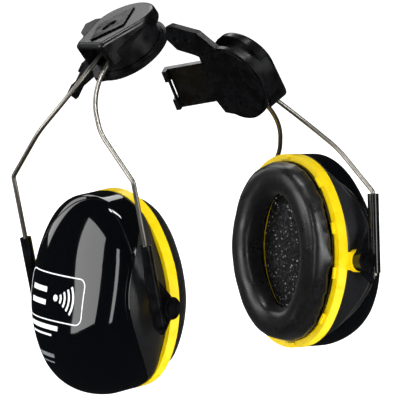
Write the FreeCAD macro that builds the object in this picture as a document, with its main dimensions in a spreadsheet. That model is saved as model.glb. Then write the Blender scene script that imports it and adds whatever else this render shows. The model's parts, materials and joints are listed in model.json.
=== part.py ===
"""A pair of ear muffs that clip to the sides of a safety helmet.

Units are millimetres. X points forward, Y to the wearer's left and Z up. The origin is the middle of
the helmet seat, halfway between the two units. Each unit hangs from a bracket with a slot blade. A
round head turns in the bracket, a wire fork flips in the head, two sleeves slide on the fork's legs,
and the cup tilts on two pins between the sleeves. The left unit stands by, the right one is pressed in.
"""
import FreeCAD, Part
import math
import os

from FreeCAD import Placement, Rotation, Vector

SIZES = {
    # cup, across the head and from brow to jaw
    "cup_height": 103.8, "cup_width": 79.6, "cup_top_radius": 34.6, "cup_low_radius": 33.4,
    "cup_rise": 5.8, "shell_depth": 35.7, "shell_wall": 2.6, "shell_step": 1.6, "band_depth": 17.0,
    "crown_lip": 0.4, "crown_inset": 8.5, "crown_drop": 2.0, "crown_slope": 8.5, "crown_rounding": 10.0,
    "dome_inset": 3.5,
    # ring, cushion and foam
    "ring_offset": 6.7, "ring_depth": 6.2, "ring_band": 3.4, "ring_plate": 2.2, "ring_opening_inset": 17.5,
    "plate_setback": 0.8, "lug_length": 6.0, "lug_height": 1.6, "lug_wall": 1.2, "lug_inset": 1.6,
    "ear_width": 9.4, "ear_wall": 1.8, "boss_radius": 6.0, "boss_room": 1.4,
    "cushion_inset": 3.2, "cushion_depth": 13.0, "cushion_roll": 18.4, "cushion_rounding": 5.5,
    "carrier_wall": 1.2, "carrier_inset": 0.6, "carrier_overlap": 1.5, "foam_inset": 1.4, "foam_back": 1.2,
    # fork, sleeves and pins
    "wire_radius": 1.2, "wire_gap": 4.2, "slot_half_width": 7.6, "leg_clear": 5.1, "leg_reach": 42.8,
    "leg_drop": 57.2, "leg_length": 44.5, "bend_radius": 3.0, "sleeve_radius": 3.0, "sleeve_length": 47.6,
    "sleeve_pin_drop": 35.3, "sleeve_pin_inset": 7.8, "eye_radius": 5.8, "eye_width": 5.2, "bore_spare": 0.8,
    "pin_radius": 2.5, "button_radius": 3.4, "button_height": 0.9, "pin_grip": 1.2,
    # head and bracket
    "disc_radius": 21.7, "disc_wall": 3.2, "disc_step": 4.2, "disc_edge": 0.8, "disc_lip": 1.4,
    "disc_web": 1.4, "arm_height": 1.0, "dimple_depth": 1.0, "hook": 2.6, "notch_width": 11.0,
    "notch_depth": 2.6, "mark_relief": 0.5, "snap_wall": 1.0, "snap_groove": 1.2, "snap_reach": 0.9,
    "drum_radius": 18.5, "drum_top": 15.0,
    "axle_height": 11.5, "axle_offset": 8.8, "barrel_radius": 5.0, "barrel_length": 16.4,
    "trunnion_radius": 2.1, "trunnion_length": 2.6, "hub_radius": 6.0, "cap_radius": 17.0,
    "cap_back": 7.0, "cap_nose": 20.8, "nose_half_width": 9.2, "cap_skirt": 9.8, "cap_top": 23.8,
    "cap_fall": 10.8, "cap_rounding": 2.1, "badge_wall": 0.9, "spring_wall": 0.6,
    "blade_width": 24.0, "blade_length": 23.0, "blade_wall": 3.2, "blade_bend": 24.0,
    # clearances: rotating faces, shafts in their holes, and pieces that only lie side by side
    "face_gap": 0.3, "shaft_gap": 0.06, "seat_gap": 0.05,
    # how the pair is laid out, in millimetres and degrees
    "axle_half_span": 50.1, "height_step": 27.5, "unit_yaw": 1.75, "flip_travel": 31.5,
}

LEFT, RIGHT = 1, -1
UNIT_NAME = {LEFT: "left", RIGHT: "right"}
# rest pose of each unit: fore-aft lean of the fork, tilt of the head's axis above level, swing of the
# fork towards the ear, turn of the head in the bracket, slide of the sleeves down the fork, cup tilt
REST = {
    LEFT: {"lean": -7.1, "head": 27.8, "flip": 4.2, "turn": -7.0, "slide": 1.0, "tilt": 3.9},
    RIGHT: {"lean": -3.8, "head": 51.6, "flip": 10.6, "turn": 18.0, "slide": 32.9, "tilt": 3.5},
}
ENDS = {1: "front", -1: "rear"}
# how far a cut runs past what it cuts, and how far joined features run into each other
OVERCUT = 24.0
OVERLAP = 0.2

doc = FreeCAD.newDocument("EarMuffPair")
sheet = doc.addObject("Spreadsheet::Sheet", "Sizes")
for row, (alias, number) in enumerate(SIZES.items(), start=1):
    sheet.set(f"A{row}", alias)
    sheet.set(f"B{row}", str(number))
    sheet.setAlias(f"B{row}", alias)
doc.recompute()

pieces = []


def size(alias):
    """Reads one driving dimension from the sheet."""
    return float(sheet.get(alias))


def bind(item, **properties):
    """Ties properties of an object to formulas over the sheet's aliases."""
    for name, formula in properties.items():
        words = formula.split()
        item.setExpression(name, " ".join(f"Sizes.{w}" if w in SIZES else w for w in words))


# ---------------------------------------------------------------- outlines


def arc(centre, radius, start, end):
    """An arc from one angle to another, counter-clockwise, angles in radians."""
    circle = Part.Circle(Vector(centre[0], centre[1], 0), Vector(0, 0, 1), radius)
    return Part.ArcOfCircle(circle, start, end)


def side_arcs():
    """Radius of the cup's side arcs, and where their centres lie past the middle and up the cup."""
    half = size("cup_width") / 2
    top_radius = size("cup_top_radius")
    low_radius = size("cup_low_radius")
    top = size("cup_height") / 2 - top_radius
    low = low_radius - size("cup_height") / 2

    def tangent_radius(level, centre, radius):
        """Radius of a side arc at a level that touches an end arc."""
        return (half ** 2 + (centre - level) ** 2 - radius ** 2) / (2 * (half - radius))

    under, over = low, top
    for _ in range(60):
        level = (under + over) / 2
        if tangent_radius(level, top, top_radius) > tangent_radius(level, low, low_radius):
            under = level
        else:
            over = level
    radius = tangent_radius(level, top, top_radius)
    return radius, radius - half, level


def oval(inset=0.0, shift=0.0):
    """The cup's outline as four tangent arcs, moved inwards by inset and up by shift."""
    top_radius = size("cup_top_radius")
    low_radius = size("cup_low_radius")
    side_radius, inward, level = side_arcs()
    half_height = size("cup_height") / 2
    top = half_height - top_radius
    low = low_radius - half_height
    upper = math.atan2(top - level, inward)
    lower = math.atan2(low - level, inward)
    rise = size("cup_rise") + shift
    return [
        arc((0, top + rise), top_radius - inset, upper, math.pi - upper),
        arc((inward, level + rise), side_radius - inset, math.pi - upper, math.pi - lower),
        arc((0, low + rise), low_radius - inset, math.pi - lower, 2 * math.pi + lower),
        arc((-inward, level + rise), side_radius - inset, lower, upper),
    ]


def leg_spread():
    """From the cup's middle to the middle of a leg."""
    return size("cup_width") / 2 + size("leg_clear")


def oval_point(inset, angle):
    """The point of the outline at an angle about the cup's middle."""
    wire = Part.Wire(Part.sortEdges([piece.toShape() for piece in oval(inset)])[0])
    middle = Vector(0, size("cup_rise"), 0)
    far = middle + Vector(math.cos(angle), math.sin(angle), 0) * 200
    distance, points, _ = wire.distToShape(Part.makeLine(middle, far))
    return points[0][0]


def polygon(points):
    """Straight runs through the points and back to the first."""
    corners = [Vector(x, y, 0) for x, y in points]
    return [Part.LineSegment(a, b) for a, b in zip(corners, corners[1:] + corners[:1])]


def box_outline(x_low, x_high, y_low, y_high):
    """A rectangle between two corners."""
    return polygon([(x_low, y_low), (x_high, y_low), (x_high, y_high), (x_low, y_high)])


def ring_outline(radius, x=0.0, y=0.0):
    """A full circle."""
    return [Part.Circle(Vector(x, y, 0), Vector(0, 0, 1), radius)]


# ---------------------------------------------------------------- bodies and features


def new_body(label):
    """Starts a named body and lists it among the pieces."""
    body = doc.addObject("PartDesign::Body", label)
    body.Label = label
    pieces.append(body)
    return body


def plane(body, role):
    """One of the body's own origin planes."""
    return next(f for f in body.Origin.OriginFeatures if getattr(f, "Role", "") == role)


def draw(body, name, lines, height=0.0, role="XY_Plane", turn=None):
    """A sketch on one of the body's planes, raised by height and turned by an optional rotation."""
    sketch = body.newObject("Sketcher::SketchObject", name)
    sketch.AttachmentSupport = [(plane(body, role), "")]
    sketch.MapMode = "FlatFace"
    sketch.AttachmentOffset = Placement(Vector(0, 0, height), turn or Rotation())
    sketch.addGeometry(lines, False)
    return sketch


def volume(body):
    """The body's volume after a recompute."""
    doc.recompute()
    return body.Shape.Volume


def pad(body, name, sketch, length, midplane=False):
    """Raises a sketch by a formula's length along its normal."""
    feature = body.newObject("PartDesign::Pad", name)
    feature.Profile = sketch
    bind(feature, Length=length)
    feature.Midplane = midplane
    body.Tip = feature
    return feature


def pocket(body, name, sketch, length, midplane=False, up=False):
    """Cuts a sketch by a formula's length, below it or, with up, above it, and checks that it cut."""
    before = volume(body)
    feature = body.newObject("PartDesign::Pocket", name)
    feature.Profile = sketch
    bind(feature, Length=length)
    feature.Midplane = midplane
    feature.Reversed = up
    body.Tip = feature
    if volume(body) >= before - 1e-6:
        raise ValueError(f"{body.Label}: {name} cuts nothing")
    return feature


def loft(body, name, sketches, cut=False):
    """A straight loft through sketches, added or cut away."""
    kind = "PartDesign::SubtractiveLoft" if cut else "PartDesign::AdditiveLoft"
    feature = body.newObject(kind, name)
    feature.Profile = sketches[0]
    feature.Sections = sketches[1:]
    feature.Ruled = True
    body.Tip = feature
    return feature


def edges_where(shape, test):
    """Names of the shape's edges whose middle passes the test."""
    names = []
    for number, edge in enumerate(shape.Edges, start=1):
        middle = edge.valueAt((edge.FirstParameter + edge.LastParameter) / 2)
        if test(middle):
            names.append(f"Edge{number}")
    return names


def round_edges(body, name, test, radius):
    """Rounds the edges whose middle passes the test."""
    doc.recompute()
    base = body.Tip
    feature = body.newObject("PartDesign::Fillet", name)
    feature.Base = (base, edges_where(base.Shape, test))
    bind(feature, Radius=radius)
    body.Tip = feature
    return feature


# ---------------------------------------------------------------- frames


def unit_frame(side):
    """A unit's own frame: x along its flip axle, y outwards, z up, origin on the axle."""
    facing = Rotation(Vector(0, 0, 1), 0 if side == LEFT else 180)
    lean = Rotation(-side * size("unit_yaw"), side * REST[side]["lean"], 0)
    place = Vector(0, side * size("axle_half_span"), -side * size("height_step") / 2)
    return Placement(place, facing * lean)


def about_x(angle):
    """A turn about the local x axis."""
    return Placement(Vector(0, 0, 0), Rotation(Vector(1, 0, 0), angle))


def shifted(x, y, z):
    """A plain shift."""
    return Placement(Vector(x, y, z), Rotation())


def fork_frame(side):
    """The fork's frame: origin on the flip axle, legs towards minus z."""
    return unit_frame(side) * about_x(-REST[side]["flip"])


def head_frame(side):
    """The head's frame: z is the turning axis, outwards, and y the way that the wires leave."""
    tipped = unit_frame(side) * about_x(REST[side]["head"] - 90)
    return tipped * shifted(0, -size("axle_offset"), -size("axle_height"))


def bracket_frame(side):
    """The bracket's frame: the head's, turned back by the head's turn."""
    turn = Placement(Vector(0, 0, 0), Rotation(Vector(0, 0, 1), -side * REST[side]["turn"]))
    return head_frame(side) * turn


def pin_place(side):
    """The middle of the pins' common axis, in the fork's frame."""
    drop = size("leg_drop") + REST[side]["slide"] + size("sleeve_pin_drop")
    return Vector(0, size("leg_reach") - size("sleeve_pin_inset"), -drop)


def cup_frame(side):
    """The cup's frame: origin on the pins' axis, x along it, y up the cup and z towards the ear."""
    middle = fork_frame(side).multVec(pin_place(side))
    facing = unit_frame(side).Rotation
    turn = Rotation(Vector(1, 0, 0), 90 - REST[side]["tilt"])
    return Placement(middle, facing * turn)


# ---------------------------------------------------------------- bracket


def groove_height():
    """Where the groove for the snap ring starts, over the bracket's back."""
    return size("disc_step") - size("snap_wall") - size("snap_groove")


def make_bracket(side, frame):
    """Disc with a stepped rim, bent slot blade with two hook feet, and a pointed side arm."""
    body = new_body(f"{UNIT_NAME[side]}_bracket")
    back = -side
    disc = draw(body, "DiscLine", ring_outline(size("disc_radius")), size("disc_edge"))
    pad(body, "Disc", disc, "disc_wall - disc_edge")
    inner = size("disc_radius") - size("disc_lip")
    pad(body, "Step", draw(body, "StepLine", ring_outline(inner)), "disc_step")
    half = size("blade_width") / 2
    root = size("disc_radius") - 3.7
    shoulder = [(0, 20.0), (14.6, 18.8), (root, half), (root, -16.0), (8, -16.0), (0, 0)]
    lines = polygon([(back * x, y) for x, y in shoulder])
    pad(body, "Shoulder", draw(body, "ShoulderLine", lines), "disc_wall")
    arm = [
        (3, -20.0), (13.9, -30.0), (33.0, -33.5), (38.7, -31.2),
        (39.0, -24.2), (34.2, -18.5), (22.3, -16.0), (10, -12.0),
    ]
    lines = polygon([(back * x, y) for x, y in arm])
    pad(body, "Arm", draw(body, "ArmLine", lines, size("arm_height")), "disc_step - arm_height")
    bend = math.radians(size("blade_bend"))
    wall = size("blade_wall")
    run = size("blade_length")
    along = (math.cos(bend), -math.sin(bend))
    across = (math.sin(bend), math.cos(bend))
    tip = (root + run * along[0], run * along[1])
    hook = size("hook")
    profile = [
        (root - 6, 0), (root, 0),
        (tip[0] - hook * along[0], tip[1] - hook * along[1]),
        (tip[0] - hook * (along[0] + across[0]), tip[1] - hook * (along[1] + across[1])),
        (tip[0] - hook * across[0], tip[1] - hook * across[1]),
        (tip[0] + wall * across[0], tip[1] + wall * across[1]),
        (root + wall * across[0] * 0.5, wall), (root - 6, wall),
    ]
    lines = polygon([(back * x, z) for x, z in profile])
    pad(body, "Blade", draw(body, "BladeLine", lines, role="XZ_Plane"), "blade_width", midplane=True)
    notch_half = size("notch_width") / 2
    ends = sorted([back * (tip[0] - size("notch_depth")), back * (tip[0] + OVERCUT)])
    notch = box_outline(*ends, -notch_half, notch_half)
    pocket(body, "Notch", draw(body, "NotchLine", notch, size("disc_step")), f"{OVERCUT}")
    under = size("arm_height") + size("dimple_depth")
    for number, reach in enumerate((22.3, 31.0)):
        dimple = Part.Ellipse(Vector(back * reach, -25.0, 0), 3.0, 1.5)
        pocket(body, f"Dimple{number}", draw(body, f"DimpleLine{number}", [dimple], under), f"{OVERCUT}")
    bore = ring_outline(size("hub_radius") + size("shaft_gap"))
    pocket(body, "Bore", draw(body, "BoreLine", bore, size("disc_web")), f"{OVERCUT}", up=True)
    groove = ring_outline(size("hub_radius") + size("snap_reach") + 2 * size("seat_gap"))
    low = groove_height()
    pocket(body, "Groove", draw(body, "GrooveLine", groove, low), "snap_groove", up=True)
    relief = f"mark_relief + {OVERLAP}"
    bar = box_outline(-6.0, 6.0, 8.0, 9.2)
    pad(body, "Bar", draw(body, "BarLine", bar, -size("mark_relief")), relief)
    dots = [ring_outline(0.8, x, 11.5)[0] for x in (-4.0, 0.0, 4.0)]
    pad(body, "Dots", draw(body, "DotLine", dots, -size("mark_relief")), relief)
    body.Placement = frame


def waist_depth():
    """How deep the hub's groove for the snap ring is."""
    return size("snap_reach") - 2 * size("seat_gap")


def make_snap_ring(side, frame):
    """Split spring ring that keeps the head's hub in the bracket."""
    body = new_body(f"{UNIT_NAME[side]}_snap_ring")
    hub = size("hub_radius")
    lines = ring_outline(hub + size("snap_reach")) + ring_outline(hub - waist_depth() + 2 * size("seat_gap"))
    low = groove_height() + (size("snap_groove") - size("snap_wall")) / 2
    pad(body, "Ring", draw(body, "RingLine", lines, low), "snap_wall")
    slot = box_outline(-1.2, 1.2, 0, OVERCUT)
    pocket(body, "Slot", draw(body, "SlotLine", slot, 0.0), f"{OVERCUT}", up=True)
    body.Placement = frame


# ---------------------------------------------------------------- turning head


def make_drum(side, frame):
    """Round housing that turns on the bracket and holds the fork's barrel."""
    body = new_body(f"{UNIT_NAME[side]}_drum")
    floor = size("disc_step") + size("face_gap")
    pad(body, "Wall", draw(body, "WallLine", ring_outline(size("drum_radius")), floor), f"drum_top - {floor}")
    hub = ring_outline(size("hub_radius"))
    low = size("disc_web") + OVERLAP
    pad(body, "Hub", draw(body, "HubLine", hub, low), f"{floor + OVERLAP - low}")
    groove = ring_outline(size("hub_radius") + 3) + ring_outline(size("hub_radius") - waist_depth())
    pocket(body, "Waist", draw(body, "WaistLine", groove, groove_height()), "snap_groove", up=True)
    axle = size("axle_offset")
    height = size("axle_height")
    room = size("barrel_radius") + size("face_gap")
    half = size("barrel_length") / 2 + size("face_gap")
    cavity = box_outline(-half, half, axle - room, axle + room)
    pocket(body, "Cavity", draw(body, "CavityLine", cavity, height - room), "drum_top", up=True)
    slit = size("slot_half_width")
    front = box_outline(-slit, slit, axle, axle + 30)
    low = height - size("wire_radius") - 2.6
    pocket(body, "Front", draw(body, "FrontLine", front, low), "drum_top", up=True)
    reach = half + size("trunnion_length") + size("face_gap")
    cradle = size("trunnion_radius") + size("shaft_gap")
    lines = [
        arc((axle, height), cradle, math.pi, 2 * math.pi),
        Part.LineSegment(Vector(axle + cradle, height, 0), Vector(axle + cradle, 30, 0)),
        Part.LineSegment(Vector(axle + cradle, 30, 0), Vector(axle - cradle, 30, 0)),
        Part.LineSegment(Vector(axle - cradle, 30, 0), Vector(axle - cradle, height, 0)),
    ]
    sketch = draw(body, "CradleLine", lines, role="YZ_Plane")
    pocket(body, "Cradle", sketch, f"{2 * reach}", midplane=True)
    spring = box_outline(-6.2, 6.2, axle - 5.0, axle + 5.0)
    seat = height - room - size("spring_wall") - 2 * size("seat_gap")
    pocket(body, "SpringSeat", draw(body, "SpringLine", spring, seat), "drum_top", up=True)
    body.Placement = frame


def cap_outline(inset=0.0):
    """Rounded back, straight flanks and a blunt nose."""
    radius = size("cap_radius") - inset
    back = -size("cap_back")
    nose = size("cap_nose") - inset
    half = size("nose_half_width") - inset
    away = math.hypot(half, nose - back)
    lean = math.atan2(nose - back, half) - math.acos(radius / away)
    start = Vector(radius * math.cos(lean), back + radius * math.sin(lean), 0)
    flank = Vector(half, nose, 0)
    return [
        arc((0, back), radius, math.pi - lean, 2 * math.pi + lean),
        Part.LineSegment(start, flank),
        Part.LineSegment(flank, Vector(-half, nose, 0)),
        Part.LineSegment(Vector(-half, nose, 0), Vector(-start.x, start.y, 0)),
    ]


def make_cap(side, frame):
    """Drop-shaped cover over the drum, high at the nose, with room for the wires below it."""
    body = new_body(f"{UNIT_NAME[side]}_cap")
    top = size("cap_top")
    skirt = size("cap_skirt")
    nose = size("cap_nose")
    tail = -size("cap_back") - size("cap_radius")
    low = top - size("cap_fall")
    pad(body, "Block", draw(body, "BlockLine", cap_outline(), skirt), "cap_top - cap_skirt")
    slope = polygon([(tail - 5, low), (nose + 5, top + 2), (nose + 5, top + 20), (tail - 5, top + 20)])
    sketch = draw(body, "SlopeLine", slope, role="YZ_Plane")
    pocket(body, "Slope", sketch, f"{4 * size('cap_radius')}", midplane=True)
    round_edges(body, "Crown", lambda p: p.z > low - 0.5 and p.z > skirt + 1, "cap_rounding")
    axle = size("axle_offset")
    height = size("axle_height")
    drum = ring_outline(size("drum_radius") + size("seat_gap"))
    pocket(body, "DrumSeat", draw(body, "DrumLine", drum, skirt - 1), "drum_top - cap_skirt + 1.05", up=True)
    room = size("barrel_radius") + size("face_gap")
    half = size("barrel_length") / 2 + size("face_gap")
    cavity = box_outline(-half, half, axle - room, axle + room)
    depth = f"axle_height + {room} - cap_skirt + 1"
    pocket(body, "Cavity", draw(body, "CavityLine", cavity, skirt - 1), depth, up=True)
    slit = size("slot_half_width")
    rise = math.radians(size("flip_travel") + 2)
    far = 30.0
    over = height + size("wire_radius") + 0.9
    wedge = polygon([
        (axle, skirt - 2), (axle + far, skirt - 2),
        (axle + far, over + far * math.tan(rise)), (axle, over),
    ])
    sketch = draw(body, "WedgeLine", wedge, role="YZ_Plane")
    pocket(body, "Wedge", sketch, f"{2 * slit}", midplane=True)
    body.Placement = frame


def make_emblem(side, frame):
    """Kite-shaped badge on the cap's slope with an eye-shaped slot."""
    body = new_body(f"{UNIT_NAME[side]}_badge")
    top = size("cap_top")
    tail = -size("cap_back") - size("cap_radius")
    low = top - size("cap_fall")
    nose = size("cap_nose")
    angle = math.degrees(math.atan2(top + 2 - low, nose + 10 - tail))
    run = 1 / math.cos(math.radians(angle))
    y_low = tail - 5
    turn = Rotation(Vector(1, 0, 0), angle)
    kite = [(0, 12 * run), (9.0, 30 * run), (0, 46 * run), (-9.0, 30 * run)]
    sketch = draw(body, "KiteLine", polygon(kite), turn=turn)
    sketch.AttachmentOffset = Placement(Vector(0, y_low, low + size("seat_gap")), turn)
    pad(body, "Kite", sketch, "badge_wall")
    eye = [Part.Ellipse(Vector(0, 31 * run, 0), 5.5, 2.2)]
    eye[0].rotate(Placement(Vector(0, 31 * run, 0), Rotation(Vector(0, 0, 1), 90)))
    sketch = draw(body, "EyeLine", eye, turn=turn)
    sketch.AttachmentOffset = Placement(Vector(0, y_low, low + 2), turn)
    pocket(body, "Eye", sketch, "disc_step")
    body.Placement = frame


def make_flip_spring(side, frame):
    """Leaf spring under the barrel."""
    body = new_body(f"{UNIT_NAME[side]}_flip_spring")
    axle = size("axle_offset")
    under = size("axle_height") - size("barrel_radius") - size("face_gap")
    bottom = under - size("spring_wall") - size("seat_gap")
    leaf = box_outline(-5.8, 5.8, axle - 4.6, axle + 4.6)
    pad(body, "Leaf", draw(body, "LeafLine", leaf, bottom), "spring_wall")
    body.Placement = frame


# ---------------------------------------------------------------- fork


def rounded_path(points, radii):
    """Straight runs through the points with a tangent arc at each inner corner."""
    edges = []
    start = points[0]
    for before, corner, after, radius in zip(points, points[1:], points[2:], radii):
        back = (before - corner).normalize()
        ahead = (after - corner).normalize()
        turn = math.pi - back.getAngle(ahead)
        trim = radius * math.tan(turn / 2)
        first = corner + back * trim
        last = corner + ahead * trim
        centre = corner + (back + ahead).normalize() * (radius / math.cos(turn / 2))
        middle = centre + (corner - centre).normalize() * radius
        if (first - start).Length > 1e-6:
            edges.append(Part.makeLine(start, first))
        edges.append(Part.Arc(first, middle, last).toShape())
        start = last
    edges.append(Part.makeLine(start, points[-1]))
    return edges


def leg_points(end):
    """One leg of the fork, from the barrel to its tip."""
    spread = leg_spread()
    reach = size("leg_reach")
    drop = size("leg_drop")
    gap = size("wire_gap")
    points = [
        Vector(gap, 1.2, -0.65),
        Vector(7.8, reach * 0.61, -drop * 0.295),
        Vector(23.0, reach * 0.904, -drop * 0.59),
        Vector(spread, reach, -drop),
        Vector(spread, reach, -drop - size("leg_length")),
    ]
    return [Vector(end * p.x, p.y, p.z) for p in points]


def make_fork_shape():
    """One bent wire: down one leg, round inside the barrel and down the other."""
    front = leg_points(1)
    rear = leg_points(-1)
    radii = (50.0, 30.0, size("bend_radius"))
    front_edges = rounded_path(front, radii)
    rear_edges = rounded_path(rear, radii)
    heading = (front[0] - front[1]).normalize()
    level = Vector(0, heading.y, heading.z).normalize()
    apex = Vector(0, front[0].y, front[0].z) + level * size("wire_gap")
    turn = Part.Arc(front[0], apex, rear[0]).toShape()
    solids = []
    for edges in (front_edges, rear_edges):
        path = Part.Wire(edges)
        begin = edges[0].valueAt(edges[0].FirstParameter)
        way = edges[0].tangentAt(edges[0].FirstParameter)
        profile = Part.Wire([Part.makeCircle(size("wire_radius"), begin, way)])
        solids.append(path.makePipeShell([profile], True, False))
    profile = Part.Wire([Part.makeCircle(size("wire_radius"), front[0], level)])
    loop = Part.Wire([turn]).makePipeShell([profile], True, False)
    ball_front = Part.makeSphere(size("wire_radius"), front[0])
    ball_rear = Part.makeSphere(size("wire_radius"), rear[0])
    return loop.fuse([ball_front, ball_rear] + solids).removeSplitter()


def make_fork(side, frame):
    """The wire fork."""
    piece = doc.addObject("Part::Feature", f"{UNIT_NAME[side]}_wire_fork")
    piece.Shape = fork_shape
    piece.Placement = frame
    pieces.append(piece)


def make_fork_block(side, frame):
    """Barrel moulded round the wire's bend, with a trunnion at each end."""
    length = size("barrel_length")
    barrel = Part.makeCylinder(size("barrel_radius"), length, Vector(-length / 2, 0, 0), Vector(1, 0, 0))
    reach = length / 2 + size("trunnion_length")
    trunnion = Part.makeCylinder(size("trunnion_radius"), 2 * reach, Vector(-reach, 0, 0), Vector(1, 0, 0))
    path = leg_points(1)
    tunnels = []
    for end in ENDS:
        start, ahead = leg_points(end)[:2]
        way = ahead - start
        tunnels.append(Part.makeCylinder(size("wire_radius") + size("seat_gap"), 20, start, way))
    level = Vector(0, path[1].y - path[0].y, path[1].z - path[0].z).normalize()
    bend = Part.makeTorus(
        size("wire_gap"), size("wire_radius") + size("seat_gap"), Vector(0, path[0].y, path[0].z),
        level.cross(Vector(1, 0, 0)))
    piece = doc.addObject("Part::Feature", f"{UNIT_NAME[side]}_fork_block")
    piece.Shape = barrel.fuse(trunnion).cut(bend.fuse(tunnels)).removeSplitter()
    piece.Placement = frame
    pieces.append(piece)


# ---------------------------------------------------------------- sleeves and pins


def make_sleeve(side, end, frame):
    """Tube that slides on a leg, with a round eye for the pin, a web and a pointed tail."""
    body = new_body(f"{UNIT_NAME[side]}_sleeve_{ENDS[side * end]}")
    radius = size("sleeve_radius")
    length = size("sleeve_length")
    drop = size("sleeve_pin_drop")
    inset = size("sleeve_pin_inset")
    eye = size("eye_radius")
    tube_x = end * leg_spread()
    tube = ring_outline(radius, tube_x, size("leg_reach"))
    tail = length - drop - eye + 0.2
    tube_bottom = -(drop + tail)
    pad(body, "Tube", draw(body, "TubeLine", tube, tube_bottom), f"sleeve_pin_drop + {tail}")
    eye_y = size("leg_reach") - inset
    web = polygon([
        (size("leg_reach") - 1.0, -14.0), (size("leg_reach") + 2.2, -14.0),
        (size("leg_reach") + 2.2, -length + 4), (size("leg_reach") - 1.5, -length),
        (eye_y - 1.0, -drop - eye + 0.4), (eye_y - eye + 0.5, -drop + 2.0),
    ])
    inner = end * (leg_spread() - size("eye_width") / 2)
    web_sketch = draw(body, "WebLine", web, role="YZ_Plane")
    web_sketch.AttachmentOffset = Placement(Vector(0, 0, inner if end > 0 else inner - 2.6), Rotation())
    pad(body, "Web", web_sketch, "eye_width / 2")
    head = draw(body, "EyeLine", ring_outline(eye, eye_y, -drop), role="YZ_Plane")
    low = inner if end > 0 else inner - size("eye_width")
    head.AttachmentOffset = Placement(Vector(0, 0, low), Rotation())
    pad(body, "Eye", head, "eye_width")
    bore = ring_outline(size("wire_radius") + size("shaft_gap"), tube_x, size("leg_reach"))
    pocket(body, "Bore", draw(body, "BoreLine", bore, 0.0), "leg_length + bore_spare")
    pin_hole = ring_outline(size("pin_radius") + size("seat_gap"), eye_y, -drop)
    pin = draw(body, "PinLine", pin_hole, role="YZ_Plane")
    pin.AttachmentOffset = Placement(Vector(0, 0, low - 1), Rotation())
    pocket(body, "PinHole", pin, "eye_width + 2", up=True)
    body.Placement = frame


def make_pin(side, end, frame):
    """Snap pin with a button head outside the sleeve's eye and a shank in the ring's boss."""
    body = new_body(f"{UNIT_NAME[side]}_pin_{ENDS[side * end]}")
    outer = leg_spread() + size("eye_width") / 2
    inner = size("cup_width") / 2 - size("pin_grip")
    start = inner if end > 0 else -outer - OVERLAP
    shank = draw(body, "ShankLine", ring_outline(size("pin_radius")), role="YZ_Plane")
    shank.AttachmentOffset = Placement(Vector(0, 0, start), Rotation())
    pad(body, "Shank", shank, f"{outer + OVERLAP - inner}")
    head = draw(body, "ButtonLine", ring_outline(size("button_radius")), role="YZ_Plane")
    seat = outer + size("seat_gap") if end > 0 else -outer - size("seat_gap") - size("button_height")
    head.AttachmentOffset = Placement(Vector(0, 0, seat), Rotation())
    pad(body, "Button", head, "button_height")
    body.Placement = frame


# ---------------------------------------------------------------- cup


def ear_outline(margin=0.0):
    """Side view of a ring ear: a tab that ends in a round boss, in the cup's y-z plane."""
    half = size("ear_width") / 2 + margin
    return box_outline(-half, half, 0, size("ring_offset") + 0.5)


def make_shell(side, frame):
    """Hollow outer shell: a set-back band beside the ring, then the full crown that slopes at the top."""
    body = new_body(f"{UNIT_NAME[side]}_cup_shell")
    base = -size("ring_offset")
    depth = size("shell_depth")
    band = size("band_depth")
    step = size("shell_step")
    inset = size("crown_inset")
    slope = Rotation(Vector(1, 0, 0), size("crown_slope"))
    first = draw(body, "BandLow", oval(step), -base)
    second = draw(body, "BandHigh", oval(step), -base - band)
    loft(body, "Band", [first, second])
    third = draw(body, "CrownLow", oval(size("crown_lip")), -base - band)
    fourth = draw(body, "CrownHigh", oval(inset, -size("crown_drop")))
    fourth.AttachmentOffset = Placement(Vector(0, 0, -base - depth), slope)
    loft(body, "Crown", [third, fourth])
    top = -base - depth
    round_edges(body, "Rounding", lambda p: p.z < top + 9, "crown_rounding")
    wall = size("shell_wall")
    inner_low = draw(body, "RoomLow", oval(step + wall), -base + 0.5)
    inner_mid = draw(body, "RoomMid", oval(step + wall), -base - band + 1)
    loft(body, "Room", [inner_low, inner_mid], cut=True)
    inner_next = draw(body, "RoomNext", oval(step + wall), -base - band + 1)
    inner_top = draw(body, "RoomHigh", oval(inset + wall + size("dome_inset"), -size("crown_drop")))
    inner_top.AttachmentOffset = Placement(Vector(0, 0, top + wall + 0.6), slope)
    loft(body, "Dome", [inner_next, inner_top], cut=True)
    face = size("cup_width") / 2 - size("ear_wall") - size("face_gap")
    for number, end in enumerate(ENDS):
        start = face if end > 0 else -face - OVERCUT
        tab = draw(body, f"EarCut{number}", ear_outline(size("face_gap")), role="YZ_Plane")
        tab.AttachmentOffset = Placement(Vector(0, 0, start), Rotation())
        pocket(body, f"EarSeat{number}", tab, f"{OVERCUT}", up=True)
        room = ring_outline(size("boss_radius") + size("boss_room"))
        boss = draw(body, f"BossCut{number}", room, role="YZ_Plane")
        boss.AttachmentOffset = Placement(Vector(0, 0, start), Rotation())
        pocket(body, f"BossSeat{number}", boss, f"{OVERCUT}", up=True)
    body.Placement = frame


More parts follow.
